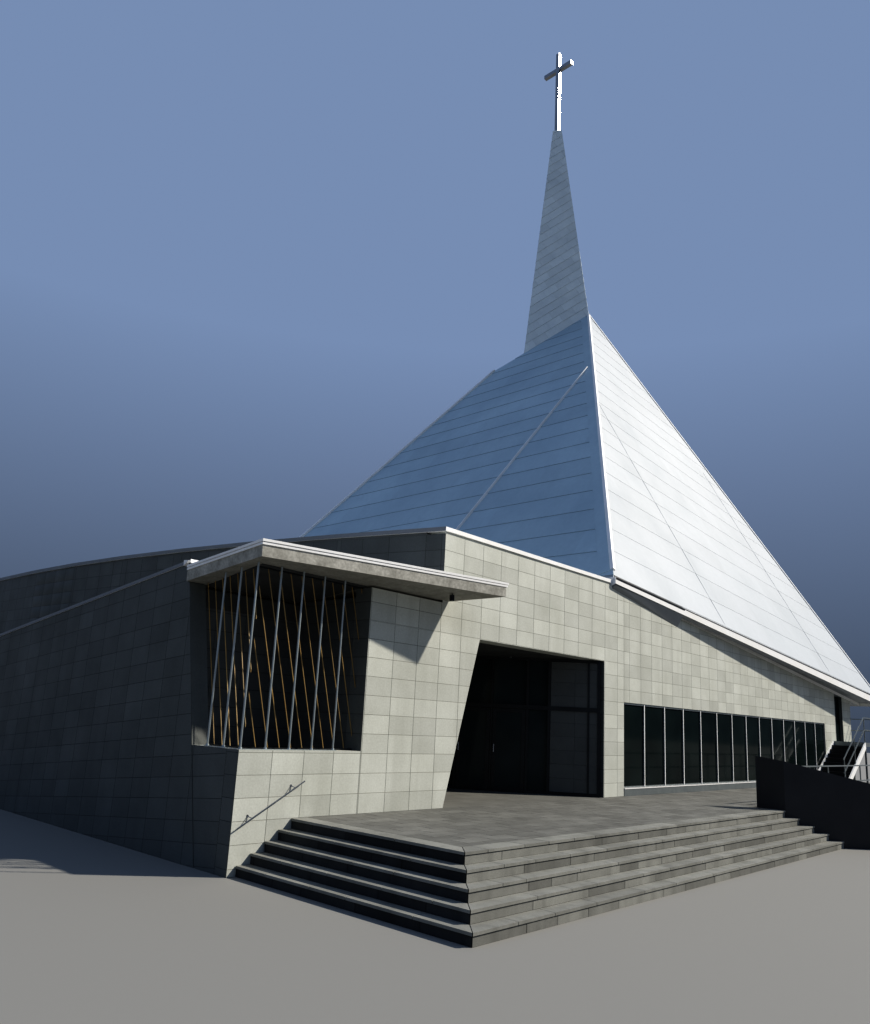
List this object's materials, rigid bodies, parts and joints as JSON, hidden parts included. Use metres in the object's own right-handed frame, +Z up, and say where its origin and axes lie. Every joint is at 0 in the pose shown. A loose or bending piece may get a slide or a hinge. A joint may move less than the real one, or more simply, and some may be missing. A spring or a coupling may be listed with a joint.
{
  "type": "modern church building",
  "caption": "Low tiled church with a glazed porch, a screened bay under a pointed canopy, wide steps, and a steep metal roof rising to a slim spire and cross.",
  "frame": {"origin": "on the ground under the hall floor, 23.37 m right of and 7.2 m behind the facade's working corner", "axes": "+X to the right along the front wall, +Y from the front wall into the building, +Z up"},
  "size_m": [32.083, 25.5556, 38.245],
  "materials": {
    "tile": "honed tile with dark joints",
    "concrete": "weathered concrete",
    "white_metal": "satin sheet with welted seams",
    "slate_metal": "satin sheet with welted seams",
    "spire_metal": "small metal shingles",
    "white_trim": "satin",
    "glass": "dark tinted",
    "frame_metal": "anodised",
    "bar_wood": "oiled",
    "step_stone": "sawn blocks",
    "dark_stone": "honed",
    "steel": "bright"
  },
  "bodies": {
    "building": {"front_wall_beside_bay": "tile", "front_wall_over_entrance": "tile", "entrance_right_pier": "tile", "front_wall_under_window": "tile", "front_wall_over_window": "tile", "front_wall_right_end": "tile", "exit_door": "glass", "bay_front_wall": "tile", "bay_side_wall": "tile", "bay_inner_wall": "tile", "bay_tubes": "frame_metal", "bay_bars": "bar_wood", "canopy_slab": "concrete", "west_wall": "tile", "west_wall_coping": "white_trim", "low_roof_slab": "concrete", "upper_west_wall": "tile", "east_wall": "tile", "back_wall": "tile", "floor_slab": "step_stone", "flat_roof_slab": "concrete", "upper_coping": "white_trim", "window_frame": "frame_metal", "window_glass": "glass", "back_window_frame": "frame_metal", "back_window_glass": "glass", "porch_screen_frame": "frame_metal", "porch_screen_glass": "glass", "porch_side_wall": "tile", "porch_ceiling": "concrete", "terrace": "step_stone", "step_4": "step_stone", "step_3": "step_stone", "step_2": "step_stone", "step_1": "step_stone", "terrace_side_wall": "dark_stone", "stair_handrail": "steel", "exit_landing": "frame_metal", "exit_stair_flight": "frame_metal", "exit_outer_stringer": "white_trim", "exit_inner_stringer": "white_trim", "exit_stair_rails": "frame_metal", "terrace_guard_rail": "frame_metal", "roof_front_facet": "white_metal", "roof_left_facet": "slate_metal", "roof_right_facet": "white_metal", "roof_back_facet": "slate_metal", "roof_cap": "slate_metal", "roof_rib": "white_trim", "roof_eaves": "white_trim", "spire": "spire_metal", "cross": "steel"},
    "right_door": {"right_door_leaf": "frame_metal", "right_door_glass": "glass"},
    "left_door": {"left_door_leaf": "frame_metal", "left_door_glass": "glass"}
  },
  "joints": [
    {"name": "right_door_hinge", "type": "hinge", "parent": "building", "child": "right_door", "pos_m": [-7.62769, -5.74403, 1.725], "axis": [0, 0, 1], "range_deg": [0, 90]},
    {"name": "left_door_hinge", "type": "hinge", "parent": "building", "child": "left_door", "pos_m": [-8.11523, -5.04775, 1.725], "axis": [0, 0, 1], "range_deg": [0, 90]}
  ]
}
